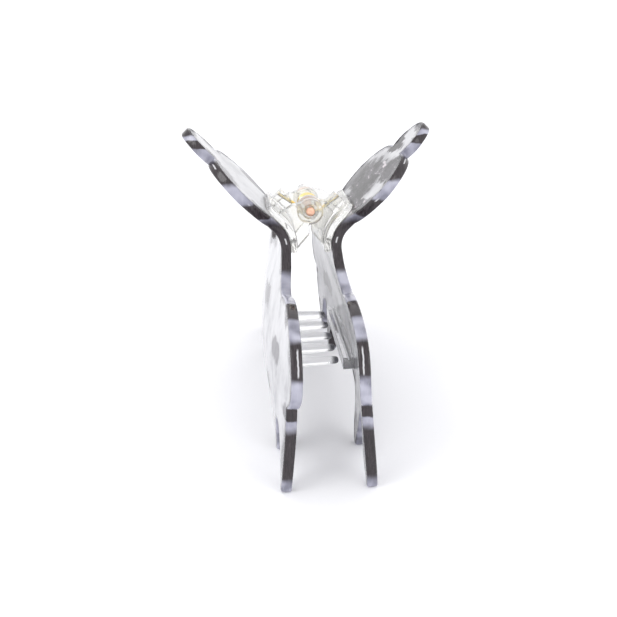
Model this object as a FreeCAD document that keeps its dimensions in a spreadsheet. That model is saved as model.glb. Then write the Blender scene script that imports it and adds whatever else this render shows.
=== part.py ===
# Claw hair clip of two bent acetate plates on a moulded spring hinge, with a comb inside each jaw.
# Millimetres. +Z up, hinge axis along Y, left jaw on -X and right jaw on +X,
# origin on the ground in the middle of the tooth tips. The clip is closed at rest.
import FreeCAD, Part
import math
import os

from FreeCAD import Placement, Rotation, Vector

doc = FreeCAD.newDocument("claw_clip")

# ---------------------------------------------------------------- driving dimensions
DIMENSIONS = [
    ("sheet_thickness", 2.5),
    ("jaw_foot_half_gap", 10.05),   # sheet centre line to the mid plane, at the ground
    ("jaw_lean", 0.077),            # how far the jaw closes in per millimetre of height
    ("jaw_bow", 3.3),               # how far the jaw swells outwards half-way along the clip
    ("bow_top", 43.0),              # height above which the jaw has no bow
    ("bend_height", 49.2),          # where the jaw and handle centre lines would cross
    ("bend_radius", 8.0),
    ("handle_angle", 46.5),
    ("handle_reach", 38.0),         # sheet blank beyond the bend corner
    ("tooth_row_half", 50.0),
    ("blank_half_length", 56.0),
    ("inner_tooth_reach", 30.0),    # the inner teeth, along the clip from the middle
    ("gap_root_height", 13.2),
    ("arch_half_width", 26.0),      # the arch under the combs, where it springs from the inner teeth
    ("arch_shoulder", 20.0),
    ("arch_rise", 0.6),
    ("axis_height", 55.5),
    ("leaf_half_length", 9.5),
    ("leaf_thickness", 1.8),
    ("leaf_foot_height", 44.6),
    ("leaf_handle_reach", 8.6),
    ("knuckle_radius", 3.3),
    ("knuckle_length", 2.7),
    ("knuckle_play", 0.3),
    ("web_inside", 0.35),           # the web's inner edge to the mid plane
    ("web_drop", 5.9),              # how far that edge reaches below the axis
    ("socket_start", 3.6),          # spring socket along the handle, from the bend corner
    ("socket_end", 7.6),
    ("socket_height", 4.3),
    ("socket_half_length", 1.9),
    ("pin_radius", 1.0),
    ("pin_running_clearance", 0.05),
    ("pin_head_radius", 1.45),
    ("pin_head_length", 0.6),
    ("counterbore_radius", 2.0),
    ("counterbore_depth", 0.8),
    ("wire_radius", 0.45),
    ("coil_radius", 2.25),
    ("coil_turns", 4.0),
    ("coil_pitch", 1.05),
    ("spring_leg_angle", 35.0),
    ("spring_leg_length", 7.4),
    ("spring_leg_clearance", 0.05),
    ("free_leg_step", 1.0),         # the right leg lies this far beyond the end of the coil
    ("comb_half_length", 19.0),
    ("comb_bottom", 15.6),
    ("comb_top", 18.8),
    ("comb_tooth_pitch", 8.1),
    ("comb_tooth_base_radius", 1.9),
    ("comb_tooth_tip_radius", 0.9),
    ("comb_tooth_root", 0.6),       # how deep a tooth starts inside its bar
    ("comb_tip_reach", 6.3),        # where the left comb's teeth end, on the right side
    ("comb_rail_inside", 7.2),      # the right rail's inner edge
    ("comb_base_thickness", 1.8),
]

sheet = doc.addObject("Spreadsheet::Sheet", "dimensions")
for row, (alias, value) in enumerate(DIMENSIONS, start=1):
    sheet.set("A%d" % row, alias)
    sheet.set("B%d" % row, str(value))
    sheet.setAlias("B%d" % row, alias)
doc.recompute()


def dim(alias):
    """A driving dimension, read from the sheet."""
    return float(sheet.get(alias))


def bind(item, **formulas):
    """Ties properties to the sheet. A formula names cells as d.alias; Base_y stands for Placement.Base.y."""
    for prop, formula in formulas.items():
        path = "Placement.Base." + prop[-1] if prop.startswith("Base_") else prop
        item.setExpression(path, formula.replace("d.", "dimensions."))
    return item


SIDES = {"left": -1, "right": 1}
HALF = dim("sheet_thickness") / 2
ANGLE = math.radians(dim("handle_angle"))
LEAN = math.atan(dim("jaw_lean"))
ALONG_Y = Rotation(Vector(1, 0, 0), -90)    # turns +Z into +Y


# ---------------------------------------------------------------- the sheet's centre line
def jaw_x(z, along):
    """Distance of the jaw's centre line from the mid plane, at height z and distance along Y."""
    rise = min(max(z / dim("bow_top"), 0.0), 1.0)
    swell = math.sin(math.pi * rise) ** 1.5
    bow = dim("jaw_bow") * (1 - (along / dim("tooth_row_half")) ** 2)
    return dim("jaw_foot_half_gap") - dim("jaw_lean") * z + bow * swell


CORNER = (jaw_x(dim("bend_height"), 0), dim("bend_height"))
TANGENT = dim("bend_radius") * math.tan((math.pi / 2 - ANGLE + LEAN) / 2)
BEND_START = (CORNER[0] + TANGENT * math.sin(LEAN), CORNER[1] - TANGENT * math.cos(LEAN))
BEND_CENTRE = (BEND_START[0] + dim("bend_radius") * math.cos(LEAN),
               BEND_START[1] + dim("bend_radius") * math.sin(LEAN))


def bend_point(turn, offset):
    """A point of the bend, offset towards the pin. turn runs from 0 at the jaw to 1 at the handle."""
    start = math.pi + LEAN
    end = math.pi / 2 + ANGLE
    angle = start + (end - start) * turn
    radius = dim("bend_radius") + offset
    return (BEND_CENTRE[0] + radius * math.cos(angle), BEND_CENTRE[1] + radius * math.sin(angle))


def handle_point(reach, offset):
    """A point of the handle, reach past the bend corner, offset towards the pin."""
    return (CORNER[0] + reach * math.cos(ANGLE) - offset * math.sin(ANGLE),
            CORNER[1] + reach * math.sin(ANGLE) + offset * math.cos(ANGLE))


def jaw_point(z, along, offset):
    """A point of the jaw, offset towards the mid plane, square to the sheet."""
    step = 0.5
    slope = (jaw_x(z + step, along) - jaw_x(z - step, along)) / (2 * step)
    length = math.hypot(slope, 1)
    return (jaw_x(z, along) - offset / length, z + offset * slope / length)


def at(side, point):
    return Vector(side * point[0], 0, point[1])


def line(side, start, end):
    return Part.LineSegment(at(side, start), at(side, end))


def bend_arc(side, offset):
    return Part.Arc(*[at(side, bend_point(turn, offset)) for turn in (0, 0.5, 1)])


def closed_wire(first_side, second_side):
    """A closed wire of two matching runs of curves, joined at both ends."""
    foot = Part.LineSegment(second_side[0].StartPoint, first_side[0].StartPoint)
    tip = Part.LineSegment(first_side[-1].EndPoint, second_side[-1].EndPoint)
    curves = [foot] + list(first_side) + [tip] + list(reversed(second_side))
    return Part.Wire([curve.toShape() for curve in curves])


def add_shape(name, shape):
    item = doc.addObject("Part::Feature", name)
    item.Shape = shape
    return item


def extrude(name, profile, direction):
    item = doc.addObject("Part::Extrusion", name)
    item.Base = profile
    item.DirMode = "Custom"
    item.Dir = direction
    item.Solid = True
    return item


# ---------------------------------------------------------------- bent, scalloped plates
JAW_STATIONS = 9
BELOW_GROUND = -2.0


def plate_section(side, along):
    """The sheet's closed cross-section at a distance along the clip, in the X-Z plane."""
    step = (BEND_START[1] - BELOW_GROUND) / JAW_STATIONS
    heights = [BELOW_GROUND + step * i for i in range(JAW_STATIONS)]
    runs = []
    for offset in (HALF, -HALF):
        jaw = Part.BSplineCurve()
        points = [jaw_point(z, along, offset) for z in heights] + [bend_point(0, offset)]
        jaw.interpolate([at(side, point) for point in points])
        handle = line(side, bend_point(1, offset), handle_point(dim("handle_reach"), offset))
        runs.append((jaw, bend_arc(side, offset), handle))
    wire = closed_wire(*runs)
    wire.translate(Vector(0, along, 0))
    return wire


def plate_blank(name):
    """The bent sheet before it is cut to its outline, lofted through three cross-sections."""
    reach = dim("blank_half_length")
    blank = doc.addObject("Part::Loft", name + "_blank")
    blank.Sections = [add_shape(name + "_section", plate_section(SIDES[name], along))
                      for along in (-reach, 0, reach)]
    blank.Solid = True
    return blank


TOOTH_HALF, TOOTH_FLAT_HALF, TOOTH_CORNER_HEIGHT = 1.6, 0.7, 1.3
TOOTH_CORNER = (TOOTH_FLAT_HALF + 0.55, 0.35)   # a point on the corner's round, from the tooth's middle
GAP_HALF, GAP_SPRING = 3.4, 9.8
ARCH_ROUND = 0.6
UPPER_OUTLINE = [
    [(0, 75.2), (3.1, 74.6), (5.2, 72.7)],         # handle tip lobe
    [(5.2, 72.7), (6.2, 70.4), (5.4, 68.4)],
    [(5.4, 68.4), (12.9, 66.0), (16.0, 61.2)],     # side lobe
    [(16.0, 61.2), (14.8, 56.9), (11.0, 53.2)],
    [(11.0, 53.2), (10.5, 49.8), (11.2, 46.4)],    # neck
    [(11.2, 46.4), (16.2, 41.9), (25.5, 39.2)],    # flare to the wing
    [(25.5, 39.2), (36.0, 40.8), (46.4, 38.9)],    # wing
    [(46.4, 38.9), (52.8, 34.6), (54.6, 28.4)],
    [(54.6, 28.4), (53.8, 24.6), (50.6, 21.8)],
]
END_EDGE_START, END_EDGE_MIDDLE = (50.6, 21.8), (51.6, 11.5)


def tooth_edges(tooth):
    """A tooth's rounded tip and small flat, towards the middle, as (y, z) points."""
    corner, flat = TOOTH_CORNER
    return [
        [(tooth + TOOTH_HALF, TOOTH_CORNER_HEIGHT), (tooth + corner, flat), (tooth + TOOTH_FLAT_HALF, 0)],
        [(tooth + TOOTH_FLAT_HALF, 0), (tooth - TOOTH_FLAT_HALF, 0)],
        [(tooth - TOOTH_FLAT_HALF, 0), (tooth - corner, flat), (tooth - TOOTH_HALF, TOOTH_CORNER_HEIGHT)],
    ]


def lower_edges():
    """The end edge, the two teeth on the +Y side and the gap between them."""
    end_tooth = dim("tooth_row_half") - 1
    inner_tooth = dim("inner_tooth_reach")
    gap = (end_tooth + inner_tooth) / 2
    root = dim("gap_root_height")
    edges = [[END_EDGE_START, END_EDGE_MIDDLE, (end_tooth + TOOTH_HALF, TOOTH_CORNER_HEIGHT)]]
    edges += tooth_edges(end_tooth)
    edges.append([(end_tooth - TOOTH_HALF, TOOTH_CORNER_HEIGHT), (gap + GAP_HALF, GAP_SPRING)])
    edges.append([(gap + GAP_HALF, GAP_SPRING), (gap, root), (gap - GAP_HALF, GAP_SPRING)])
    edges.append([(gap - GAP_HALF, GAP_SPRING), (inner_tooth + TOOTH_HALF, TOOTH_CORNER_HEIGHT)])
    edges += tooth_edges(inner_tooth)
    return edges


def arch_edges():
    """The wide arch between the two inner teeth, under the combs, from +Y to -Y."""
    foot = dim("inner_tooth_reach") - TOOTH_HALF
    spring, shoulder, root = dim("arch_half_width"), dim("arch_shoulder"), dim("gap_root_height")
    return [
        [(foot, TOOTH_CORNER_HEIGHT), (spring, GAP_SPRING)],
        [(spring, GAP_SPRING), ((spring + shoulder) / 2 - ARCH_ROUND, root - ARCH_ROUND), (shoulder, root)],
        [(shoulder, root), (0, root + dim("arch_rise")), (-shoulder, root)],
        [(-shoulder, root), (-(spring + shoulder) / 2 + ARCH_ROUND, root - ARCH_ROUND), (-spring, GAP_SPRING)],
        [(-spring, GAP_SPRING), (-foot, TOOTH_CORNER_HEIGHT)],
    ]


def plate_outline():
    """The closed flat outline in the Y-Z plane, the same on both sides of the middle."""
    half = UPPER_OUTLINE + lower_edges()
    mirrored = [[(-y, z) for y, z in reversed(edge)] for edge in reversed(half)]
    curves = []
    for edge in half + arch_edges() + mirrored:
        points = [Vector(0, y, z) for y, z in edge]
        curve = Part.LineSegment(*points) if len(points) == 2 else Part.Arc(*points)
        curves.append(curve.toShape())
    return Part.Wire(curves)


def make_plate(name):
    outline = add_shape(name + "_outline", Part.Face(plate_outline()))
    cutter = extrude(name + "_cutter", outline, Vector(SIDES[name], 0, 0))
    bind(cutter, LengthFwd="d.blank_half_length")
    plate = doc.addObject("Part::MultiCommon", name + "_plate")
    plate.Shapes = [plate_blank(name), cutter]
    return plate


# ---------------------------------------------------------------- parts that lie along the pin
def pin_cylinder(name, radius, start, length):
    """A cylinder on the hinge axis, its sizes tied to the sheet."""
    cylinder = doc.addObject("Part::Cylinder", name)
    cylinder.Placement = Placement(Vector(0, 0, 0), ALONG_Y)
    return bind(cylinder, Radius=radius, Height=length, Base_y=start, Base_z="d.axis_height")


def fuse(name, pieces):
    item = doc.addObject("Part::MultiFuse", name)
    item.Shapes = pieces
    item.Refine = True
    return item


def cut(name, base, tool):
    item = doc.addObject("Part::Cut", name)
    item.Base = base
    item.Tool = tool
    item.Refine = True
    return item


# ---------------------------------------------------------------- moulded hinge leaves
def leaf_flange(name):
    """The curved flange that lies along the plate's inner face through the bend."""
    side = SIDES[name]
    runs = []
    for offset in (HALF, HALF + dim("leaf_thickness")):
        foot = jaw_point(dim("leaf_foot_height"), 0, offset)
        runs.append((line(side, foot, bend_point(0, offset)), bend_arc(side, offset),
                     line(side, bend_point(1, offset), handle_point(dim("leaf_handle_reach"), offset))))
    profile = add_shape(name + "_flange_profile", Part.Face(closed_wire(*runs)))
    flange = extrude(name + "_flange", profile, Vector(0, 1, 0))
    flange.Symmetric = True
    return bind(flange, LengthFwd="2 * d.leaf_half_length")


def polygon_face(side, points):
    corners = [at(side, point) for point in points]
    return Part.Face(Part.makePolygon(corners + corners[:1]))


def web_outline():
    """The web that ties a knuckle to its flange, in the X-Z plane of the right side."""
    axis = dim("axis_height")
    inside = dim("web_inside")
    flange_middle = HALF + dim("leaf_thickness") / 2
    foot = jaw_point(dim("leaf_foot_height") + 0.3, 0, flange_middle)
    shoulder = (2.2, axis + 2.3)
    elbow = (4.6, axis + 1.9)
    end = handle_point((dim("socket_start") + dim("socket_end")) / 2, flange_middle)
    return [foot, (inside, axis - dim("web_drop")), (inside, axis), shoulder, elbow,
            end, bend_point(0.5, flange_middle)]


def leaf_knuckles(name):
    """Each leaf's two knuckles with their webs: one at an end, one next to the spring."""
    side = SIDES[name]
    pieces = []
    starts = {
        "outer": "d.leaf_half_length - d.knuckle_length",
        "inner": "-(d.leaf_half_length - d.knuckle_length - d.knuckle_play)",
    }
    for which, start in starts.items():
        low = start if side > 0 else "-(%s) - d.knuckle_length" % start
        label = "%s_%s" % (name, which)
        pieces.append(pin_cylinder(label + "_knuckle", "d.knuckle_radius", low, "d.knuckle_length"))
        profile = add_shape(label + "_web_profile", polygon_face(side, web_outline()))
        web = extrude(label + "_web", profile, Vector(0, 1, 0))
        pieces.append(bind(web, LengthFwd="d.knuckle_length", Base_y=low))
    return pieces


def leg_along(side):
    """Distance along Y at which the spring's leg leaves the coil on one side."""
    coil_end = dim("coil_turns") * dim("coil_pitch") / 2
    return coil_end if side < 0 else -coil_end - dim("free_leg_step")


def leg_cylinder(name, side, radius, length):
    """A cylinder along the spring's leg, which is tangent to the coil's underside."""
    angle = math.radians(dim("spring_leg_angle"))
    start = Vector(side * dim("coil_radius") * math.sin(angle), leg_along(side),
                   dim("axis_height") - dim("coil_radius") * math.cos(angle))
    direction = Vector(side * math.cos(angle), 0, math.sin(angle))
    cylinder = doc.addObject("Part::Cylinder", name)
    cylinder.Placement = Placement(start, Rotation(Vector(0, 0, 1), direction))
    return bind(cylinder, Radius=radius, Height=length)


def spring_socket(name):
    """The block on the flange that holds the end of the spring's leg."""
    side = SIDES[name]
    under = HALF + dim("leaf_thickness") / 2
    over = under + dim("socket_height")
    start, end = dim("socket_start"), dim("socket_end")
    corners = [handle_point(start, under), handle_point(start, over),
               handle_point(end, over), handle_point(end, under)]
    profile = add_shape(name + "_socket_profile", polygon_face(side, corners))
    profile.Placement.Base = Vector(0, leg_along(side), 0)
    socket = extrude(name + "_socket", profile, Vector(0, 1, 0))
    socket.Symmetric = True
    return bind(socket, LengthFwd="2 * d.socket_half_length")


def make_leaf(name):
    side = SIDES[name]
    body = fuse(name + "_leaf_body", [leaf_flange(name), spring_socket(name)] + leaf_knuckles(name))
    clearance = "d.pin_running_clearance" if side > 0 else "0 * d.pin_running_clearance"
    bore = pin_cylinder(name + "_bore", "d.pin_radius + " + clearance,
                        "-2 * d.leaf_half_length", "4 * d.leaf_half_length")
    outside = "d.leaf_half_length - d.counterbore_depth" if side > 0 else "-d.leaf_half_length"
    recess = pin_cylinder(name + "_counterbore", "d.counterbore_radius", outside, "d.counterbore_depth")
    hole = leg_cylinder(name + "_leg_hole", side, "d.wire_radius + d.spring_leg_clearance",
                        "d.spring_leg_length + 4 * d.spring_leg_clearance")
    tools = fuse(name + "_leaf_openings", [bore, recess, hole])
    return cut(name + "_hinge_leaf", body, tools)


# ---------------------------------------------------------------- pin and spring
def make_pin():
    seat = "d.leaf_half_length - d.counterbore_depth"
    shaft = pin_cylinder("pin_shaft", "d.pin_radius", "-(%s)" % seat, "2 * (%s)" % seat)
    near_head = pin_cylinder("pin_near_head", "d.pin_head_radius",
                             "-(%s) - d.pin_head_length" % seat, "d.pin_head_length")
    far_head = pin_cylinder("pin_far_head", "d.pin_head_radius", seat, "d.pin_head_length")
    return fuse("hinge_pin", [shaft, near_head, far_head])


def make_spring():
    """The coil with its left leg: a helix round the pin that ends tangent to the leg."""
    helix = doc.addObject("Part::Helix", "coil_helix")
    bind(helix, Radius="d.coil_radius", Pitch="d.coil_pitch", Height="d.coil_pitch * d.coil_turns")
    section = doc.addObject("Part::Circle", "coil_section")
    section.Placement.Rotation = Rotation(Vector(1, 0, 0), 90)
    bind(section, Radius="d.wire_radius", Base_x="d.coil_radius")
    doc.recompute()
    coil = doc.addObject("Part::Sweep", "coil")
    coil.Sections = [section]
    coil.Spine = (helix, ["Edge%d" % (i + 1) for i in range(len(helix.Shape.Edges))])
    coil.Solid = True
    coil.Frenet = True
    # The helix's own axis is turned from +Z to -Y, and its start to where the left leg leaves.
    leg_start = 270 - dim("spring_leg_angle")
    turned = Rotation(Vector(0, 1, 0), -leg_start).multiply(Rotation(Vector(1, 0, 0), 90))
    coil.Placement = Placement(Vector(0, leg_along(-1), dim("axis_height")), turned)
    leg = leg_cylinder("left_leg", -1, "d.wire_radius", "d.spring_leg_length")
    return fuse("torsion_spring", [coil, leg])


def make_free_leg():
    return leg_cylinder("torsion_spring_leg", 1, "d.wire_radius", "d.spring_leg_length")


# ---------------------------------------------------------------- inner combs
def derive(alias, value):
    """Adds a cell whose value follows from the driving dimensions through the jaw's curve."""
    row = len(DIMENSIONS) + len(DERIVED) + 1
    DERIVED.append(alias)
    sheet.set("A%d" % row, alias)
    sheet.set("B%d" % row, repr(value))
    sheet.setAlias("B%d" % row, alias)
    doc.recompute()


DERIVED = []
comb_end_x = jaw_x(dim("comb_top"), dim("comb_half_length"))
derive("comb_back", comb_end_x)     # the bars' backs start inside the plate and are cut by its inner face
derive("comb_bar_inside", comb_end_x - HALF * math.hypot(1, dim("jaw_lean")) - dim("comb_base_thickness"))


def comb_bar(name, start, length, plate):
    """A bar along the jaw, cut to the plate's inner face."""
    bar = doc.addObject("Part::Box", name + "_bar")
    bind(bar, Length=length, Width="2 * d.comb_half_length", Height="d.comb_top - d.comb_bottom",
         Base_x=start, Base_y="-d.comb_half_length", Base_z="d.comb_bottom")
    return cut(name, bar, plate)


def comb_tooth(place):
    tooth = doc.addObject("Part::Cone", "comb_tooth")
    tooth.Placement.Rotation = Rotation(Vector(0, 1, 0), 90)
    return bind(tooth, Radius1="d.comb_tooth_base_radius", Radius2="d.comb_tooth_tip_radius",
                Height="d.comb_tip_reach + d.comb_bar_inside + d.comb_tooth_root",
                Base_x="-(d.comb_bar_inside + d.comb_tooth_root)", Base_y="%d * d.comb_tooth_pitch" % place,
                Base_z="(d.comb_bottom + d.comb_top) / 2")


def make_left_comb(plate):
    bar = comb_bar("left_comb_base", "-d.comb_back", "d.comb_back - d.comb_bar_inside", plate)
    return fuse("left_comb", [bar] + [comb_tooth(place) for place in (-2, -1, 0, 1, 2)])


def make_right_comb(plate):
    return comb_bar("right_comb", "d.comb_rail_inside", "d.comb_back - d.comb_rail_inside", plate)


# ---------------------------------------------------------------- assembly and export
plates = {name: make_plate(name) for name in SIDES}
nodes = {
    "left_plate": plates["left"],
    "right_plate": plates["right"],
    "left_hinge_leaf": make_leaf("left"),
    "right_hinge_leaf": make_leaf("right"),
    "hinge_pin": make_pin(),
    "torsion_spring": make_spring(),
    "torsion_spring_leg": make_free_leg(),
    "left_comb": make_left_comb(plates["left"]),
    "right_comb": make_right_comb(plates["right"]),
}
for node, item in nodes.items():
    item.Label = node
doc.recompute()

for item in doc.Objects:
    if "Invalid" in item.State or "Error" in item.State:
        raise RuntimeError("%s is %s" % (item.Label, item.State))
for node, item in nodes.items():
    shape = item.Shape
    if shape.isNull() or not shape.isValid() or len(shape.Solids) != 1:
        raise RuntimeError("%s has no single valid solid (%d)" % (node, len(shape.Solids)))
    print("%-20s %9.2f mm3  %s" % (node, shape.Volume, shape.BoundBox))

os.makedirs("parts", exist_ok=True)
for node, item in nodes.items():
    item.Shape.exportStep("parts/%s.step" % node)
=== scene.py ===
"""Looks of the claw hair clip: marbled acetate jaws, clear moulded hinge, gold spring and clear combs."""

import math

import bpy
from mathutils import Matrix, Vector
from mathutils.geometry import delaunay_2d_cdt


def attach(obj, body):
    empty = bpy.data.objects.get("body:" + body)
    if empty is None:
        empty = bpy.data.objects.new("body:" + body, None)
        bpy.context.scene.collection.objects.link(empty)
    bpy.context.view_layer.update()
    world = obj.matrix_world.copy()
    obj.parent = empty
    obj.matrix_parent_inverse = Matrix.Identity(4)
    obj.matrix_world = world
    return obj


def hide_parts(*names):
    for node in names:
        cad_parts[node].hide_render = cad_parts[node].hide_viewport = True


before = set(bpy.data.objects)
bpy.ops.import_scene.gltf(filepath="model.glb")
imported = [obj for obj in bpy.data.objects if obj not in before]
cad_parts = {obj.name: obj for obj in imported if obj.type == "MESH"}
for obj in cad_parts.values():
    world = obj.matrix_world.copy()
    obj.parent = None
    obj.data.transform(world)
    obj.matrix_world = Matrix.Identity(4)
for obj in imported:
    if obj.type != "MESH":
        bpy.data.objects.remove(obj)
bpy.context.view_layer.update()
MM = 0.001
SIDES = {"left": -1, "right": 1}

# ------------------------------------------------------------------ the clip's own dimensions, in mm
SHEET = 2.5
HALF = SHEET / 2
FOOT_GAP, LEAN_RATE, BOW, BOW_TOP = 10.05, 0.077, 3.3, 43.0
BEND_HEIGHT, BEND_RADIUS = 49.2, 8.0
ANGLE = math.radians(46.5)
LEAN = math.atan(LEAN_RATE)
ROW_HALF, GAP_ROOT = 50.0, 13.2
TOOTH_HALF, TOOTH_TOP, END_TOOTH, INNER_TOOTH = 1.6, 1.3, ROW_HALF - 1, 30.0
ARCH_HALF, ARCH_SHOULDER, ARCH_FOOT, ARCH_RISE, ARCH_ROUND = 26.0, 20.0, 9.8, 0.6, 0.6
GAP, GAP_HALF = (END_TOOTH + INNER_TOOTH) / 2, 3.4
EDGE_ROUND, FACE_GRID = 0.45, 1.3
AXIS = 55.5
LEAF_HALF, LEAF_THICK, LEAF_FOOT, LEAF_REACH = 9.5, 1.8, 44.6, 8.6
WEB_INSIDE, WEB_DROP = 0.35, 5.9
KNUCKLE_RADIUS, KNUCKLE_LENGTH, KNUCKLE_PLAY = 3.3, 2.7, 0.3
SOCKET_START, SOCKET_END, SOCKET_HEIGHT, SOCKET_HALF = 3.6, 7.6, 4.3, 1.9
PIN_RADIUS, PIN_PLAY, RECESS_RADIUS, RECESS_DEPTH = 1.0, 0.06, 2.0, 0.8
WIRE, WIRE_PLAY, COIL_RADIUS, COIL_TURNS, COIL_PITCH = 0.45, 0.05, 2.25, 4.0, 1.05
LEG_ANGLE, LEG_LENGTH, LEG_STEP = math.radians(35.0), 7.4, 1.0
COMB_HALF, COMB_LOW, COMB_HIGH, COMB_PITCH = 19.0, 15.6, 18.8, 8.1
COMB_MIDDLE = (COMB_LOW + COMB_HIGH) / 2
COMB_TIP, RAIL_INSIDE, COMB_BASE = 6.3, 7.2, 1.8


# ------------------------------------------------------------------ the bent sheet
def jaw_x(z, along):
    """Distance of the sheet's middle from the hinge plane, below the bend."""
    rise = min(max(z / BOW_TOP, 0.0), 1.0)
    swell = math.sin(math.pi * rise) ** 1.5
    return FOOT_GAP - LEAN_RATE * z + BOW * (1 - (along / ROW_HALF) ** 2) * swell


CORNER = (jaw_x(BEND_HEIGHT, 0), BEND_HEIGHT)
TANGENT = BEND_RADIUS * math.tan((math.pi / 2 - ANGLE + LEAN) / 2)
BEND_START = (CORNER[0] + TANGENT * math.sin(LEAN), CORNER[1] - TANGENT * math.cos(LEAN))
BEND_CENTRE = (BEND_START[0] + BEND_RADIUS * math.cos(LEAN), BEND_START[1] + BEND_RADIUS * math.sin(LEAN))
BEND_END_Z = BEND_CENTRE[1] + BEND_RADIUS * math.sin(math.pi / 2 + ANGLE)


def sheet_point(side, along, z, offset):
    """A point of the bent sheet whose middle is at height z, offset towards the pin."""
    if z < BEND_START[1]:
        slope = jaw_x(z + 0.5, along) - jaw_x(z - 0.5, along)
        length = math.hypot(slope, 1)
        x, height = jaw_x(z, along) - offset / length, z + offset * slope / length
    elif z < BEND_END_Z:
        angle = math.pi - math.asin((z - BEND_CENTRE[1]) / BEND_RADIUS)
        radius = BEND_RADIUS + offset
        x, height = BEND_CENTRE[0] + radius * math.cos(angle), BEND_CENTRE[1] + radius * math.sin(angle)
    else:
        reach = (z - CORNER[1]) / math.sin(ANGLE)
        x = CORNER[0] + reach * math.cos(ANGLE) - offset * math.sin(ANGLE)
        height = CORNER[1] + reach * math.sin(ANGLE) + offset * math.cos(ANGLE)
    return Vector((side * x, along, height))


# ------------------------------------------------------------------ mesh helpers
def add_mesh(name, points, faces, smooth=True):
    """A mesh object from points in millimetres."""
    mesh = bpy.data.meshes.new(name)
    mesh.from_pydata([Vector(p) * MM for p in points], [], faces)
    mesh.validate()
    mesh.update()
    for polygon in mesh.polygons:
        polygon.use_smooth = smooth
    item = bpy.data.objects.new(name, mesh)
    bpy.context.scene.collection.objects.link(item)
    return item


def arc_points(start, middle, end, step):
    """Points along the arc through three points, without the last one."""
    ax, ay = start
    bx, by = middle
    cx, cy = end
    a2, b2, c2 = ax * ax + ay * ay, bx * bx + by * by, cx * cx + cy * cy
    d = 2 * (ax * (by - cy) + bx * (cy - ay) + cx * (ay - by))
    ux = (a2 * (by - cy) + b2 * (cy - ay) + c2 * (ay - by)) / d
    uy = (a2 * (cx - bx) + b2 * (ax - cx) + c2 * (bx - ax)) / d
    radius = math.hypot(ax - ux, ay - uy)
    first = math.atan2(ay - uy, ax - ux)
    mid = (math.atan2(by - uy, bx - ux) - first) % (2 * math.pi)
    sweep = (math.atan2(cy - uy, cx - ux) - first) % (2 * math.pi)
    if mid > sweep:
        sweep -= 2 * math.pi
    count = max(3, int(abs(sweep) * radius / step))
    turns = [first + sweep * i / count for i in range(count)]
    return [(ux + radius * math.cos(turn), uy + radius * math.sin(turn)) for turn in turns]


def outline_loop(edges, step=0.55):
    """Points round a closed outline. Two points make a straight edge and three an arc."""
    loop = []
    for edge in edges:
        if len(edge) == 3:
            loop += arc_points(*edge, step)
        else:
            (ax, ay), (bx, by) = edge
            count = max(1, int(math.hypot(bx - ax, by - ay) / step))
            loop += [(ax + (bx - ax) * i / count, ay + (by - ay) * i / count) for i in range(count)]
    return loop


def inset(loop, distance):
    """The loop moved inwards. It runs clockwise seen from +X, so its inside is on the right."""
    moved = []
    count = len(loop)
    for i, (y, z) in enumerate(loop):
        py, pz = loop[i - 1]
        ny, nz = loop[(i + 1) % count]
        a = Vector((y - py, z - pz)).normalized()
        b = Vector((ny - y, nz - z)).normalized()
        normal = Vector((a.y + b.y, -a.x - b.x))
        size = max(normal.length, 1.0)
        moved.append((y + normal.x / size * distance * 2 / size, z + normal.y / size * distance * 2 / size))
    return moved


def inside_points(loop, step, margin):
    """Grid points inside the loop, at least a margin away from it."""
    ys = [p[0] for p in loop]
    zs = [p[1] for p in loop]
    found = []
    count = len(loop)
    rows = int((max(zs) - min(zs)) / step)
    columns = int((max(ys) - min(ys)) / step)
    for r in range(1, rows + 1):
        z = min(zs) + r * step
        crossings = []
        near = [p for p in loop if abs(p[1] - z) < margin]
        for i in range(count):
            (ay, az), (by, bz) = loop[i], loop[(i + 1) % count]
            if (az > z) != (bz > z):
                crossings.append(ay + (z - az) / (bz - az) * (by - ay))
        crossings.sort()
        for c in range(1, columns + 1):
            y = min(ys) + (c + 0.5 * (r % 2)) * step
            inside = sum(1 for x in crossings if x < y) % 2
            if inside and all((p[0] - y) ** 2 + (p[1] - z) ** 2 > margin * margin for p in near):
                found.append((y, z))
    return found


EDGE_STEPS = 4


def sheet_piece(name, side, loop, low, high, rounding, step):
    """A rounded-edged piece of bent sheet between two offsets. Faces of its cut edge get material index 1."""
    core = inset(loop, rounding)
    flat = [Vector(p) for p in core + inside_points(core, step, step * 0.55)]
    count = len(core)
    result = delaunay_2d_cdt(flat, [], [list(range(count))], 1, 1e-5)
    triangles = [[result[3][i][0] for i in face] for face in result[2]]
    points, across, faces, starts = [], [], [], []

    def add_points(flat_points, offset):
        starts.append(len(points))
        points.extend(sheet_point(side, y, z, offset) for y, z in flat_points)
        across.extend([(offset - low) / (high - low)] * len(flat_points))

    add_points(flat, high)
    turns = [math.pi / 2 * (k + 1) / EDGE_STEPS for k in range(EDGE_STEPS)]
    for turn in turns:
        add_points(inset(loop, rounding * (1 - math.sin(turn))), high - rounding * (1 - math.cos(turn)))
    for turn in reversed(turns):
        add_points(inset(loop, rounding * (1 - math.sin(turn))), low + rounding * (1 - math.cos(turn)))
    add_points(flat, low)
    for start, outward in ((starts[0], side > 0), (starts[-1], side < 0)):
        faces += [[start + i for i in (face if outward else face[::-1])] for face in triangles]
    broad = len(faces)
    for first, second in zip(starts, starts[1:]):
        for i in range(count):
            j = (i + 1) % count
            face = [first + i, second + i, second + j, first + j]
            faces.append(face if side > 0 else face[::-1])
    item = add_mesh(name, points, faces)
    for index, polygon in enumerate(item.data.polygons):
        polygon.material_index = 0 if index < broad else 1
    item.data.attributes.new("across", "FLOAT", "POINT").data.foreach_set("value", across)
    return item


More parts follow.
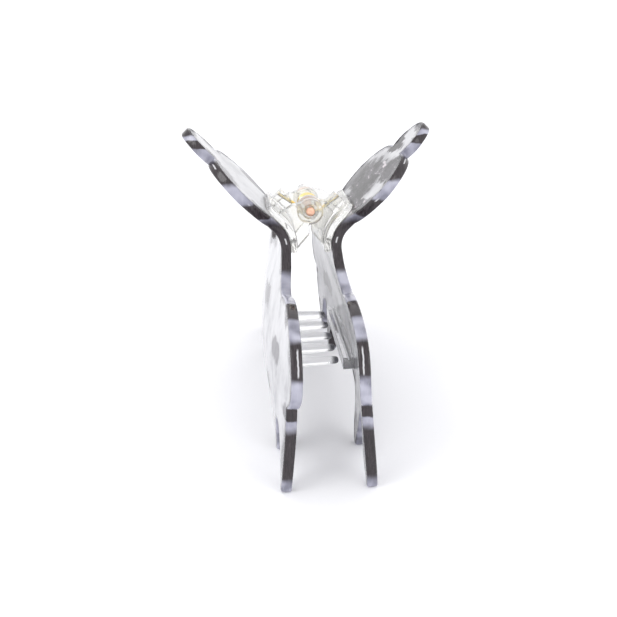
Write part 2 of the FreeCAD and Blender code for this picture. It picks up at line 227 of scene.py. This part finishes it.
def ring_faces(rings, sides):
    """Faces of a closed solid made of rings of points, with flat ends."""
    faces = []
    for r in range(rings - 1):
        for i in range(sides):
            j = (i + 1) % sides
            faces.append([r * sides + i, r * sides + j, (r + 1) * sides + j, (r + 1) * sides + i])
    faces.append(list(range(sides))[::-1])
    faces.append([(rings - 1) * sides + i for i in range(sides)])
    return faces


def lathe(rings, axis_start, axis, segments=40):
    """Points and faces of a turned solid. rings are (distance along the axis, radius)."""
    axis = Vector(axis).normalized()
    across = axis.orthogonal().normalized()
    third = axis.cross(across)
    points = []
    for along, radius in rings:
        centre = Vector(axis_start) + axis * along
        for i in range(segments):
            angle = 2 * math.pi * i / segments
            points.append(centre + (across * math.cos(angle) + third * math.sin(angle)) * radius)
    return points, ring_faces(len(rings), segments)


def swept_wire(path, radius, segments=16):
    """Points and faces of a round wire along a path, with rounded ends."""
    tangents = []
    for i in range(len(path)):
        a, b = path[max(i - 1, 0)], path[min(i + 1, len(path) - 1)]
        tangents.append((Vector(b) - Vector(a)).normalized())
    normal = tangents[0].orthogonal().normalized()
    rings = []
    for i, tangent in enumerate(tangents):
        normal = (normal - tangent * normal.dot(tangent)).normalized()
        rings.append((Vector(path[i]), tangent, normal.copy(), 1.0))
    first, last = rings[0], rings[-1]
    cap = [(0.35, 0.94), (0.72, 0.7), (0.94, 0.35)]
    head = [(first[0] - first[1] * radius * d, first[1], first[2], s) for d, s in reversed(cap)]
    tail = [(last[0] + last[1] * radius * d, last[1], last[2], s) for d, s in cap]
    rings = head + rings + tail
    points = []
    for centre, tangent, normal, scale in rings:
        third = tangent.cross(normal)
        for i in range(segments):
            angle = 2 * math.pi * i / segments
            points.append(centre + (normal * math.cos(angle) + third * math.sin(angle)) * radius * scale)
    return points, ring_faces(len(rings), segments)


def prism(side, outline, low, high):
    """Points and faces of an X-Z polygon extruded along Y."""
    count = len(outline)
    points = [(side * x, low, z) for x, z in outline] + [(side * x, high, z) for x, z in outline]
    faces = [list(range(count)), list(range(count, 2 * count))[::-1]]
    faces += [[i, i + count, (i + 1) % count + count, (i + 1) % count] for i in range(count)]
    return points, faces if side < 0 else [face[::-1] for face in faces]


def apply_modifiers(item):
    """Make the object's modifiers part of its mesh."""
    graph = bpy.context.evaluated_depsgraph_get()
    mesh = bpy.data.meshes.new_from_object(item.evaluated_get(graph))
    item.modifiers.clear()
    old = item.data
    item.data = mesh
    bpy.data.meshes.remove(old)


def moulded(name, solids, voxel, smoothing, cutters=()):
    """One moulded piece: overlapping solids joined and softened, then cut by turned tools."""
    points, faces = [], []
    for solid_points, solid_faces in solids:
        base = len(points)
        points += solid_points
        faces += [[base + i for i in face] for face in solid_faces]
    item = add_mesh(name, points, faces)
    remesh = item.modifiers.new("join", "REMESH")
    remesh.mode = "VOXEL"
    remesh.voxel_size = voxel * MM
    soften = item.modifiers.new("soften", "SMOOTH")
    soften.factor = 0.5
    soften.iterations = smoothing
    apply_modifiers(item)
    for cutter in cutters:
        tool = add_mesh("tool", *cutter)
        opening = item.modifiers.new("opening", "BOOLEAN")
        opening.operation = "DIFFERENCE"
        opening.object = tool
        opening.solver = "EXACT"
        apply_modifiers(item)
        bpy.data.objects.remove(tool)
    for polygon in item.data.polygons:
        polygon.use_smooth = True
    return item


# ------------------------------------------------------------------ node materials
class Recipe:
    """A small builder for one node material."""

    def __init__(self, name):
        self.material = bpy.data.materials.new(name)
        self.material.use_nodes = True
        self.tree = self.material.node_tree
        self.tree.nodes.clear()
        out = self.tree.nodes.new("ShaderNodeOutputMaterial")
        self.shader = self.tree.nodes.new("ShaderNodeBsdfPrincipled")
        self.tree.links.new(self.shader.outputs[0], out.inputs["Surface"])
        self.place = self.tree.nodes.new("ShaderNodeTexCoord").outputs["Object"]

    def link(self, source, target):
        if isinstance(source, bpy.types.NodeSocket):
            self.tree.links.new(source, target)
        elif source is not None:
            target.default_value = source

    def set(self, **values):
        for key, value in values.items():
            self.link(value, self.shader.inputs[key.replace("_", " ")])

    def math(self, operation, a, b=None, c=None):
        node = self.tree.nodes.new("ShaderNodeMath")
        node.operation = operation
        for socket, value in zip(node.inputs, (a, b, c)):
            self.link(value, socket)
        return node.outputs[0]

    def vector(self, operation, a, b=None, scale=None):
        node = self.tree.nodes.new("ShaderNodeVectorMath")
        node.operation = operation
        self.link(a, node.inputs[0])
        self.link(b, node.inputs[1])
        if scale is not None:
            node.inputs["Scale"].default_value = scale
        return node.outputs["Value" if operation == "LENGTH" else "Vector"]

    def noise(self, vector, scale, detail=3.0, roughness=0.55, colour=False):
        node = self.tree.nodes.new("ShaderNodeTexNoise")
        self.link(vector, node.inputs["Vector"])
        node.inputs["Scale"].default_value = scale
        node.inputs["Detail"].default_value = detail
        node.inputs["Roughness"].default_value = roughness
        return node.outputs["Color" if colour else "Fac"]

    def ramp(self, value, *stops):
        """A colour ramp. stops are (position, colour) in rising order."""
        node = self.tree.nodes.new("ShaderNodeValToRGB")
        self.link(value, node.inputs[0])
        elements = node.color_ramp.elements
        for element, (position, colour) in zip(elements, (stops[0], stops[-1])):
            element.position = position
            element.color = (*colour, 1)
        for position, colour in stops[1:-1]:
            elements.new(position).color = (*colour, 1)
        return node.outputs[0]

    def mix(self, factor, a, b):
        node = self.tree.nodes.new("ShaderNodeMix")
        node.data_type = "RGBA"
        self.link(factor, node.inputs["Factor"])
        for value, socket in ((a, node.inputs[6]), (b, node.inputs[7])):
            self.link((*value, 1) if isinstance(value, tuple) else value, socket)
        return node.outputs[2]

    def span(self, value, low, high):
        """0 below low and 1 above high."""
        node = self.tree.nodes.new("ShaderNodeMapRange")
        node.interpolation_type = "SMOOTHSTEP"
        self.link(value, node.inputs["Value"])
        node.inputs["From Min"].default_value = low
        node.inputs["From Max"].default_value = high
        return node.outputs["Result"]

    def inverse(self, value):
        return self.math("SUBTRACT", 1.0, value)

    def bump(self, height, strength, distance):
        node = self.tree.nodes.new("ShaderNodeBump")
        node.inputs["Strength"].default_value = strength
        node.inputs["Distance"].default_value = distance
        self.link(height, node.inputs["Height"])
        self.link(node.outputs[0], self.shader.inputs["Normal"])


# Dark patches of the marbling as (y, z, half width, half height), in mm, before they are distorted.
DARK_PATCHES = [
    (-54.5, 34.7, 6.5, 4.3), (-51.5, 20.6, 5.5, 1.5), (-51.0, 10.0, 4.6, 6.7), (-39.0, 41.0, 3.8, 3.6),
    (-13.2, 47.6, 5.4, 6.8), (-14.7, 57.3, 3.0, 2.3), (-12.5, 66.9, 6.5, 2.9), (-5.3, 72.5, 2.0, 1.0),
    (-0.6, 75.4, 3.4, 1.7), (-29.5, 5.2, 3.0, 4.9), (-20.5, 15.2, 5.0, 2.0),
    (12.0, 44.0, 6.0, 3.6), (13.0, 58.0, 4.0, 5.2), (6.5, 71.5, 3.4, 1.6), (27.5, 39.0, 4.6, 2.6),
    (51.5, 20.0, 4.0, 1.3), (56.5, 31.5, 4.0, 3.2), (50.0, 7.0, 5.0, 4.4), (29.5, 5.5, 3.4, 4.6),
    (33.0, 22.0, 7.5, 3.0), (1.5, 30.5, 8.5, 2.8), (-31.0, 27.5, 7.0, 3.2), (-1.0, 49.5, 4.2, 2.4),
]


def nearest(recipe, place, patches):
    """Distance from the nearest patch's middle, 1 at its rim."""
    found = None
    for y, z, half_width, half_height in patches:
        local = recipe.vector("SUBTRACT", place, (0.0, y, z))
        local = recipe.vector("MULTIPLY", local, (0.0, 1 / half_width, 1 / half_height))
        distance = recipe.vector("LENGTH", local)
        found = distance if found is None else recipe.math("MINIMUM", found, distance)
    return found


def marbling(recipe, wander):
    """(place in mm, distance from the nearest dark patch) in the acetate."""
    place = recipe.vector("SCALE", recipe.place, scale=1000.0)
    drift = recipe.noise(place, 0.16, 2.0, 0.5, colour=True)
    drift = recipe.vector("SUBTRACT", drift, (0.5, 0.5, 0.5))
    fine = recipe.noise(place, 0.55, 3.0, 0.55, colour=True)
    fine = recipe.vector("SUBTRACT", fine, (0.5, 0.5, 0.5))
    moved = recipe.vector("ADD", place, recipe.vector("SCALE", drift, scale=wander * 4))
    moved = recipe.vector("ADD", moved, recipe.vector("SCALE", fine, scale=wander * 1.6))
    return place, nearest(recipe, moved, DARK_PATCHES)


# Smoky clouds on the faces, in the same form. The right jaw's clouds are more and darker near the hinge:
# partly the sheet's own marbling and partly painted shade, standing in for the left face being lit brighter
# than the right.
SMOKE_AND_PAINTED_SHADE = {
    "left": [(-6.0, 70.0, 3.5, 2.5), (12.0, 14.0, 9.0, 4.0)],
    "right": [(3.0, 61.0, 12.0, 5.2), (-9.0, 65.5, 7.0, 3.4), (-4.0, 57.0, 11.0, 3.0), (2.0, 70.0, 4.0, 2.0)],
}


def acetate_face(half_name):
    """Polished faces: pale translucent sheet with smoky clouds, partly painted shade, and dark patches inside
    it.
    """
    r = Recipe("acetate_face_" + half_name)
    place, distance = marbling(r, 1.5)
    patch = r.inverse(r.span(distance, 0.7, 1.2))
    drift = r.vector("SUBTRACT", r.noise(place, 0.22, 3.0, 0.6, colour=True), (0.5, 0.5, 0.5))
    moved = r.vector("ADD", place, r.vector("SCALE", drift, scale=9.0))
    # Smoky clouds, which on the right jaw are partly painted shade.
    smoke_and_shade = r.inverse(r.span(nearest(r, moved, SMOKE_AND_PAINTED_SHADE[half_name]), 0.7, 1.15))
    cloud = r.noise(place, 0.13, 4.0, 0.6)
    streak = r.noise(r.vector("MULTIPLY", place, (1.0, 0.45, 1.5)), 0.3, 3.0, 0.65)
    pale = r.ramp(cloud, (0.36, (0.6, 0.6, 0.62)), (0.52, (0.53, 0.53, 0.55)), (0.66, (0.4, 0.4, 0.42)))
    dusky = r.ramp(streak, (0.38, (0.02, 0.018, 0.02)), (0.5, (0.05, 0.046, 0.052)),
                   (0.6, (0.11, 0.1, 0.115)), (0.66, (0.6, 0.53, 0.56)))
    colour = r.mix(smoke_and_shade, pale, dusky)
    colour = r.mix(r.math("MULTIPLY", patch, 0.75), colour, (0.07, 0.065, 0.075))
    r.set(Base_Color=colour, Roughness=0.14, IOR=1.45, Transmission_Weight=0.1, Specular_IOR_Level=0.06)
    r.bump(r.noise(place, 0.35, 2.0), 0.06, 0.0006)
    return r.material


# Painted highlight: where a thin white streak of reflected light is painted along a dark part of the cut
# edge, in the same form.
PAINTED_EDGE_HIGHLIGHTS = [(-54.0, 34.0, 5.0, 2.9), (-11.5, 48.4, 3.0, 0.8), (-15.5, 60.5, 3.0, 1.3), (-9.0, 67.8, 3.0, 0.5)]


def acetate_edge():
    """Cut edges: seen deep into the sheet, so the patches are near black and the rest lavender grey, with a
    painted white highlight line along some dark parts.
    """
    r = Recipe("acetate_edge")
    place, distance = marbling(r, 0.5)
    patch = r.inverse(r.span(distance, 0.82, 1.2))
    across = r.tree.nodes.new("ShaderNodeAttribute")
    across.attribute_name = "across"
    layer = r.math("ADD", across.outputs["Fac"], r.math("MULTIPLY", r.noise(place, 0.5, 2.0), 0.16))
    # A thin band inside the sheet's thickness, where the painted highlight line runs.
    core = r.inverse(r.span(r.math("ABSOLUTE", r.math("SUBTRACT", layer, 0.68)), 0.03, 0.1))
    painted_highlight = r.math("MULTIPLY", core, r.inverse(r.span(nearest(r, place, PAINTED_EDGE_HIGHLIGHTS), 0.8, 1.1)))
    grain = r.noise(r.vector("MULTIPLY", place, (5.0, 0.5, 0.5)), 1.0, 4.0, 0.6)
    cloud = r.noise(place, 0.22, 1.5, 0.5)
    dark = r.ramp(grain, (0.3, (0.006, 0.004, 0.005)), (0.72, (0.045, 0.034, 0.04)))
    # Painted highlight: the thin white line of reflection on the polished edge, painted over the dark
    # patches.
    dark = r.mix(r.math("MULTIPLY", painted_highlight, 0.8), dark, (0.7, 0.7, 0.72))
    light = r.ramp(cloud, (0.36, (0.2, 0.2, 0.25)), (0.48, (0.31, 0.31, 0.38)), (0.64, (0.44, 0.44, 0.52)))
    light = r.mix(r.math("MULTIPLY", r.span(grain, 0.5, 0.75), 0.2), light, (0.6, 0.6, 0.65))
    r.set(Base_Color=r.mix(patch, light, dark), Roughness=0.14, IOR=1.47,
          Coat_Weight=0.15, Coat_Roughness=0.04)
    r.bump(r.noise(place, 1.2, 3.0), 0.1, 0.0004)
    return r.material


def clear_plastic(name, tint, cream, clarity, darken_from=None):
    """Clear moulded plastic with a slight tint, flow lines and, if asked, an end that darkens to grey."""
    r = Recipe(name)
    place = r.vector("SCALE", r.place, scale=1000.0)
    flow = r.noise(r.vector("MULTIPLY", place, (1.0, 0.35, 1.0)), 0.5, 3.0)
    colour = r.mix(r.span(flow, 0.35, 0.7), tint, cream)
    if darken_from:
        axis, low, high = darken_from
        parts = r.tree.nodes.new("ShaderNodeSeparateXYZ")
        r.link(place, parts.inputs[0])
        # The colour darkens to grey past the given span along the axis, towards the teeth's tips.
        colour = r.mix(r.span(parts.outputs[axis], low, high), colour, (0.12, 0.12, 0.13))
    r.set(Base_Color=colour, Roughness=0.08, IOR=1.34, Transmission_Weight=clarity,
          Coat_Weight=0.5, Coat_Roughness=0.03)
    r.bump(r.noise(place, 0.9, 2.0), 0.08, 0.0005)
    return r.material


def metal(name, bright, dull, roughness, scale):
    r = Recipe(name)
    place = r.vector("SCALE", r.place, scale=1000.0)
    drawn = r.noise(r.vector("MULTIPLY", place, (1.0, 4.0, 1.0)), scale, 4.0)
    r.set(Base_Color=r.mix(r.span(drawn, 0.35, 0.7), bright, dull), Metallic=1.0,
          Roughness=r.math("MULTIPLY_ADD", drawn, 0.14, roughness - 0.05))
    r.bump(drawn, 0.08, 0.0001)
    return r.material


FACES = {half_name: acetate_face(half_name) for half_name in SIDES}
EDGE = acetate_edge()
CREAM_PLASTIC = clear_plastic("hinge_plastic", (1.0, 1.0, 0.99), (1.0, 0.99, 0.94), 0.86)
COMB_PLASTIC = clear_plastic("comb_plastic", (1.0, 1.0, 1.0), (1.0, 1.0, 1.0), 0.95, ("X", 4.0, 5.4))
RAIL_PLASTIC = clear_plastic("rail_plastic", (1.0, 1.0, 1.0), (0.97, 0.97, 0.98), 0.95)
GOLD = metal("spring_wire", (1.0, 0.86, 0.42), (0.86, 0.66, 0.26), 0.22, 1.4)
COPPER = metal("pin_copper", (0.9, 0.58, 0.42), (0.74, 0.4, 0.28), 0.3, 1.8)


# ------------------------------------------------------------------ plates
def tooth_outline(tooth):
    """The rounded point of the tooth at this place, with a small flat that stands on the floor."""
    corner, flat = 1.25, 0.7
    return [[(tooth + TOOTH_HALF, TOOTH_TOP), (tooth + corner, 0.35), (tooth + flat, 0)],
            [(tooth + flat, 0), (tooth - flat, 0)],
            [(tooth - flat, 0), (tooth - corner, 0.35), (tooth - TOOTH_HALF, TOOTH_TOP)]]


# The jaw's outline as (y, z) edges, from the handle's tip round the lobes and teeth to the arch's middle.
HALF_OUTLINE = [
    [(0, 75.2), (3.1, 74.6), (5.2, 72.7)], [(5.2, 72.7), (6.2, 70.4), (5.4, 68.4)],
    [(5.4, 68.4), (12.9, 66.0), (16.0, 61.2)], [(16.0, 61.2), (14.8, 56.9), (11.0, 53.2)],
    [(11.0, 53.2), (10.5, 49.8), (11.2, 46.4)], [(11.2, 46.4), (16.2, 41.9), (25.5, 39.2)],
    [(25.5, 39.2), (36.0, 40.8), (46.4, 38.9)], [(46.4, 38.9), (52.8, 34.6), (54.6, 28.4)],
    [(54.6, 28.4), (53.8, 24.6), (50.6, 21.8)], [(50.6, 21.8), (51.6, 11.5), (50.6, 1.3)],
]
HALF_OUTLINE += tooth_outline(END_TOOTH)
HALF_OUTLINE += [[(END_TOOTH - TOOTH_HALF, TOOTH_TOP), (GAP + GAP_HALF, ARCH_FOOT)],
                 [(GAP + GAP_HALF, ARCH_FOOT), (GAP, GAP_ROOT), (GAP - GAP_HALF, ARCH_FOOT)],
                 [(GAP - GAP_HALF, ARCH_FOOT), (INNER_TOOTH + TOOTH_HALF, TOOTH_TOP)]]
HALF_OUTLINE += tooth_outline(INNER_TOOTH)
CORNER_Y, CORNER_Z = (ARCH_HALF + ARCH_SHOULDER) / 2 - ARCH_ROUND, GAP_ROOT - ARCH_ROUND
ARCH = [[(INNER_TOOTH - TOOTH_HALF, TOOTH_TOP), (ARCH_HALF, ARCH_FOOT)],
        [(ARCH_HALF, ARCH_FOOT), (CORNER_Y, CORNER_Z), (ARCH_SHOULDER, GAP_ROOT)],
        [(ARCH_SHOULDER, GAP_ROOT), (0, GAP_ROOT + ARCH_RISE), (-ARCH_SHOULDER, GAP_ROOT)],
        [(-ARCH_SHOULDER, GAP_ROOT), (-CORNER_Y, CORNER_Z), (-ARCH_HALF, ARCH_FOOT)],
        [(-ARCH_HALF, ARCH_FOOT), (-INNER_TOOTH + TOOTH_HALF, TOOTH_TOP)]]
MIRRORED = [[(-y, z) for y, z in reversed(edge)] for edge in reversed(HALF_OUTLINE)]
OUTLINE = outline_loop(HALF_OUTLINE + ARCH + MIRRORED)

for half_name, side in SIDES.items():
    plate = sheet_piece("acetate_" + half_name, side, OUTLINE, -HALF, HALF, EDGE_ROUND, FACE_GRID)
    plate.data.materials.append(FACES[half_name])
    plate.data.materials.append(EDGE)
    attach(plate, half_name + "_half")
    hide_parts(half_name + "_plate")


# ------------------------------------------------------------------ moulded hinge
def loft(sections):
    """Points and faces of a solid through matching closed sections."""
    points = [point for section in sections for point in section]
    return points, ring_faces(len(sections), len(sections[0]))


def taken_apart(item):
    """An object's points in millimetres and its faces. The object itself goes."""
    points = [v.co / MM for v in item.data.vertices]
    faces = [list(p.vertices) for p in item.data.polygons]
    bpy.data.objects.remove(item)
    return points, faces


def handle_xz(reach, offset):
    """(x, z) on the right handle: reach from the bend's corner, offset towards the pin."""
    return (CORNER[0] + reach * math.cos(ANGLE) - offset * math.sin(ANGLE),
            CORNER[1] + reach * math.sin(ANGLE) + offset * math.cos(ANGLE))


def sheet_xz(z, offset):
    """(x, z) on the right jaw's sheet in the clip's middle."""
    point = sheet_point(1, 0, z, offset)
    return (point.x, point.z)


def along_pin(low, high, radius, soften=0.0):
    """A cylinder on the hinge axis, with softened rims if asked."""
    length = high - low
    rings = [(0, radius), (length, radius)]
    if soften:
        slight = soften * 0.3
        rings = [(0, radius - soften), (slight, radius - slight), (soften, radius),
                 (length - soften, radius), (length - slight, radius - slight), (length, radius - soften)]
    return lathe(rings, (0, low, AXIS), (0, 1, 0), 56)


LEAF_TOP = CORNER[1] + LEAF_REACH * math.sin(ANGLE)
FLANGE_OUTLINE = outline_loop([
    [(0, LEAF_TOP), (6.6, LEAF_TOP)], [(6.6, LEAF_TOP), (8.7, LEAF_TOP - 0.8), (9.5, LEAF_TOP - 2.8)],
    [(9.5, LEAF_TOP - 2.8), (9.5, LEAF_FOOT + 1.6)],
    [(9.5, LEAF_FOOT + 1.6), (9.0, LEAF_FOOT + 0.5), (7.9, LEAF_FOOT)],
    [(7.9, LEAF_FOOT), (-7.9, LEAF_FOOT)],
    [(-7.9, LEAF_FOOT), (-9.0, LEAF_FOOT + 0.5), (-9.5, LEAF_FOOT + 1.6)],
    [(-9.5, LEAF_FOOT + 1.6), (-9.5, LEAF_TOP - 2.8)],
    [(-9.5, LEAF_TOP - 2.8), (-8.7, LEAF_TOP - 0.8), (-6.6, LEAF_TOP)], [(-6.6, LEAF_TOP), (0, LEAF_TOP)],
], 0.4)
COIL_END = COIL_TURNS * COIL_PITCH / 2
LEG_ALONG = {"left": COIL_END, "right": -COIL_END - LEG_STEP}


def leg_start(side, along):
    """Where a leg leaves the coil."""
    return Vector((side * COIL_RADIUS * math.sin(LEG_ANGLE), along, AXIS - COIL_RADIUS * math.cos(LEG_ANGLE)))


def leg_direction(side):
    """The way a leg points, out along its handle."""
    return Vector((side * math.cos(LEG_ANGLE), 0, math.sin(LEG_ANGLE)))


def hinge_leaf(half_name, side):
    """Flange, two knuckles with their webs and the spring's socket, moulded as one piece."""
    middle = HALF + LEAF_THICK / 2
    flange = sheet_piece("flange", side, FLANGE_OUTLINE, HALF + 0.02, HALF + LEAF_THICK, 0.4, 0.8)
    socket_middle = (SOCKET_START + SOCKET_END) / 2
    web = [sheet_xz(LEAF_FOOT + 0.3, middle), (WEB_INSIDE, AXIS - WEB_DROP), (WEB_INSIDE, AXIS),
           (2.2, AXIS + 2.3), (4.6, AXIS + 1.9), handle_xz(socket_middle, middle), sheet_xz(49.0, middle)]
    solids = [taken_apart(flange)]
    outer = (LEAF_HALF - KNUCKLE_LENGTH, LEAF_HALF)
    inner_low = -(LEAF_HALF - KNUCKLE_LENGTH - KNUCKLE_PLAY)
    inner = (inner_low, inner_low + KNUCKLE_LENGTH)
    for low, high in (outer, inner):
        if side < 0:
            low, high = -high, -low
        solids.append(along_pin(low, high, KNUCKLE_RADIUS, 0.25))
        solids.append(prism(side, web, low + 0.12, high - 0.12))
    along = LEG_ALONG[half_name]
    socket = [handle_xz(SOCKET_START, middle), handle_xz(SOCKET_START, middle + SOCKET_HEIGHT),
              handle_xz(SOCKET_END, middle + SOCKET_HEIGHT), handle_xz(SOCKET_END, middle)]
    solids.append(prism(side, socket, along - SOCKET_HALF, along + SOCKET_HALF))
    past_end = LEAF_HALF + 1
    bore = along_pin(-past_end, past_end, PIN_RADIUS + PIN_PLAY)
    mouth = (LEAF_HALF - RECESS_DEPTH, past_end) if side > 0 else (-past_end, -LEAF_HALF + RECESS_DEPTH)
    recess = along_pin(*mouth, RECESS_RADIUS)
    hole_rings = [(-0.4, WIRE + WIRE_PLAY), (LEG_LENGTH + 0.1, WIRE + WIRE_PLAY)]
    hole = lathe(hole_rings, leg_start(side, along), leg_direction(side), 24)
    return moulded("hinge_" + half_name, solids, 0.15, 3, (bore, recess, hole))


for half_name, side in SIDES.items():
    leaf = hinge_leaf(half_name, side)
    leaf.data.materials.append(CREAM_PLASTIC)
    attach(leaf, half_name + "_half")
    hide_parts(half_name + "_hinge_leaf")

# ------------------------------------------------------------------ pin and spring
SEAT = LEAF_HALF - RECESS_DEPTH
PIN_HALF = [(0.0, PIN_RADIUS), (SEAT - 0.02, PIN_RADIUS), (SEAT, 1.1), (SEAT + 0.1, 1.18),
            (SEAT + 0.28, 1.15), (SEAT + 0.43, 1.0), (SEAT + 0.54, 0.75), (SEAT + 0.6, 0.4)]
PIN_RINGS = [(-along, radius) for along, radius in reversed(PIN_HALF[1:])] + PIN_HALF
pin = add_mesh("pin", *lathe(PIN_RINGS, (0, 0, AXIS), (0, 1, 0), 48))
pin.data.materials.append(COPPER)
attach(pin, "left_half")
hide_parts("hinge_pin")

# The last part of the coil has no pitch. The right leg's piece repeats it, so it slides along it as the
# handles are squeezed and no gap opens.
FLAT_ARC = math.radians(75)
COIL_STEPS, LEG_STEPS = 150, 12


def coil_point(angle, along):
    """A point on the middle of the coil's wire."""
    return Vector((COIL_RADIUS * math.cos(angle), along, AXIS + COIL_RADIUS * math.sin(angle)))


FIRST = math.radians(270) - LEG_ANGLE
LAST = math.radians(270) + LEG_ANGLE + 2 * math.pi * COIL_TURNS
RISE_END = LAST - FLAT_ARC
left_along, right_along = LEG_ALONG["left"], LEG_ALONG["right"]
left_start, left_way = leg_start(-1, left_along), leg_direction(-1) * LEG_LENGTH
right_start, right_way = leg_start(1, right_along), leg_direction(1) * LEG_LENGTH
coil_path = [left_start + left_way * (1 - i / LEG_STEPS) for i in range(LEG_STEPS)]
for i in range(COIL_STEPS + 1):
    angle = FIRST + (LAST - FIRST) * i / COIL_STEPS
    climb = min((angle - FIRST) / (RISE_END - FIRST), 1.0)
    coil_path.append(coil_point(angle, left_along + (right_along - left_along) * climb))
leg_path = [coil_point(LAST - FLAT_ARC * (1 - i / LEG_STEPS), right_along) for i in range(LEG_STEPS)]
leg_path += [right_start + right_way * i / LEG_STEPS for i in range(LEG_STEPS + 1)]
for name, path, body, node in (("spring_coil", coil_path, "left_half", "torsion_spring"),
                               ("spring_leg", leg_path, "right_half", "torsion_spring_leg")):
    wire = add_mesh(name, *swept_wire(path, WIRE))
    wire.data.materials.append(GOLD)
    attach(wire, body)
    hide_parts(node)


# ------------------------------------------------------------------ inner combs
def face_x(z, along):
    """The jaw's inner face at this height and place along the clip."""
    return jaw_x(z, along) - HALF * math.hypot(1, LEAN_RATE)


BAR_STEPS = 24


def comb_bar(side, front):
    """A bar whose back follows the jaw. front lists the (x, z) points of its inner side, bottom first."""
    sections = []
    for i in range(BAR_STEPS + 1):
        along = -COMB_HALF + 2 * COMB_HALF * i / BAR_STEPS
        back = [(face_x(z, along) + 0.05, z) for z in (COMB_HIGH, COMB_MIDDLE, COMB_LOW)]
        sections.append([(side * x, along, z) for x, z in front + back])
    points, faces = loft(sections)
    return points, faces if side < 0 else [face[::-1] for face in faces]


BAR_INSIDE = face_x(COMB_HIGH, COMB_HALF) - COMB_BASE
TOOTH_ROOT = BAR_INSIDE + 0.6
TOOTH_LENGTH = COMB_TIP + TOOTH_ROOT
TOOTH_RINGS = [(0, 1.95), (0.9, 1.85), (2.0, 1.72), (TOOTH_LENGTH * 0.5, 1.4), (TOOTH_LENGTH - 1.6, 1.06),
               (TOOTH_LENGTH - 0.9, 1.0), (TOOTH_LENGTH - 0.35, 0.86), (TOOTH_LENGTH - 0.1, 0.6),
               (TOOTH_LENGTH, 0.25)]
left_solids = [comb_bar(-1, [(BAR_INSIDE, COMB_LOW), (BAR_INSIDE, COMB_HIGH)])]
left_solids += [lathe(TOOTH_RINGS, (-TOOTH_ROOT, place * COMB_PITCH, COMB_MIDDLE), (1, 0, 0), 36)
                for place in (-2, -1, 0, 1, 2)]
RAIL_FRONT = [(RAIL_INSIDE, COMB_LOW), (RAIL_INSIDE, COMB_HIGH), (RAIL_INSIDE + 1.15, COMB_HIGH),
              (RAIL_INSIDE + 1.35, COMB_HIGH - 0.7), (RAIL_INSIDE + 1.75, COMB_HIGH - 0.7),
              (RAIL_INSIDE + 1.95, COMB_HIGH)]
right_solids = [comb_bar(1, RAIL_FRONT)]
for half_name, solids, plastic in (("left", left_solids, COMB_PLASTIC),
                                   ("right", right_solids, RAIL_PLASTIC)):
    comb = moulded("comb_" + half_name, solids, 0.14, 2)
    comb.data.materials.append(plastic)
    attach(comb, half_name + "_half")
    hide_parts(half_name + "_comb")

# ------------------------------------------------------------------ floor, light and camera
FLOOR_HALF = 6000
floor_corners = [(x * FLOOR_HALF, y * FLOOR_HALF, 0) for x, y in ((-1, -1), (1, -1), (1, 1), (-1, 1))]
floor = add_mesh("floor", floor_corners, [[0, 1, 2, 3]])
floor_recipe = Recipe("floor_paint")
paper = floor_recipe.noise(floor_recipe.place, 900.0, 2.0)
floor_colour = floor_recipe.ramp(paper, (0.3, (0.95, 0.95, 0.97)), (0.7, (0.96, 0.96, 0.98)))
floor_recipe.set(Base_Color=floor_colour, Roughness=0.85)
floor.data.materials.append(floor_recipe.material)

# The studio is white round the horizon and dimmer overhead.
world = bpy.data.worlds.new("studio")
bpy.context.scene.world = world
world.use_nodes = True
tree = world.node_tree
background = tree.nodes["Background"]
where = tree.nodes.new("ShaderNodeTexCoord")
parts = tree.nodes.new("ShaderNodeSeparateXYZ")
tree.links.new(where.outputs["Generated"], parts.inputs[0])
sky = tree.nodes.new("ShaderNodeValToRGB")
tree.links.new(parts.outputs["Z"], sky.inputs[0])
for element, (height, level) in zip(sky.color_ramp.elements, ((0.12, 1.0), (0.6, 0.78))):
    element.position = height
    element.color = (level, level, level * 1.01, 1)
tree.links.new(sky.outputs[0], background.inputs["Color"])
background.inputs["Strength"].default_value = 1.4


LIGHTS_AIM = Vector((0, 0, 0.035))


def add_light(kind, name, place, strength, spread):
    """A sun (spread is its angle) or a disk (spread is its width) that faces the clip."""
    light = bpy.data.lights.new(name, kind)
    light.energy = strength
    if kind == "SUN":
        light.angle = spread
    else:
        light.shape = "DISK"
        light.size = spread
    item = bpy.data.objects.new(name, light)
    item.location = place
    item.rotation_euler = (LIGHTS_AIM - Vector(place)).to_track_quat("-Z", "Y").to_euler()
    bpy.context.scene.collection.objects.link(item)


add_light("SUN", "key", (-0.6, -0.3, 0.6), 0.6, math.radians(30))
add_light("AREA", "kicker", (0.5, -0.6, 0.45), 0.6, 0.4)

camera_data = bpy.data.cameras.new("camera")
SENSOR, IMAGE_WIDTH, FOCAL_PIXELS = 36.0, 617, 800
camera_data.sensor_width = SENSOR
camera_data.lens = SENSOR * FOCAL_PIXELS / IMAGE_WIDTH
camera_data.clip_start = 0.01
camera = bpy.data.objects.new("camera", camera_data)
# The camera stands near one end of the clip, above it, and looks along it as in the photograph.
CAMERA_PLACE = Vector((-17.789, -206.398, 106.170)) * MM
RIGHT = Vector((0.99586835, -0.09005618, -0.01166685))
DOWN = Vector((-0.04343718, -0.35958715, -0.93209994))
FORWARD = Vector((0.07974611, 0.9287556, -0.36201325))
turned = Matrix((RIGHT, -DOWN, -FORWARD)).transposed().to_4x4()
camera.matrix_world = Matrix.Translation(CAMERA_PLACE) @ turned
bpy.context.scene.collection.objects.link(camera)
bpy.context.scene.camera = camera
bpy.context.scene.view_settings.view_transform = "Standard"
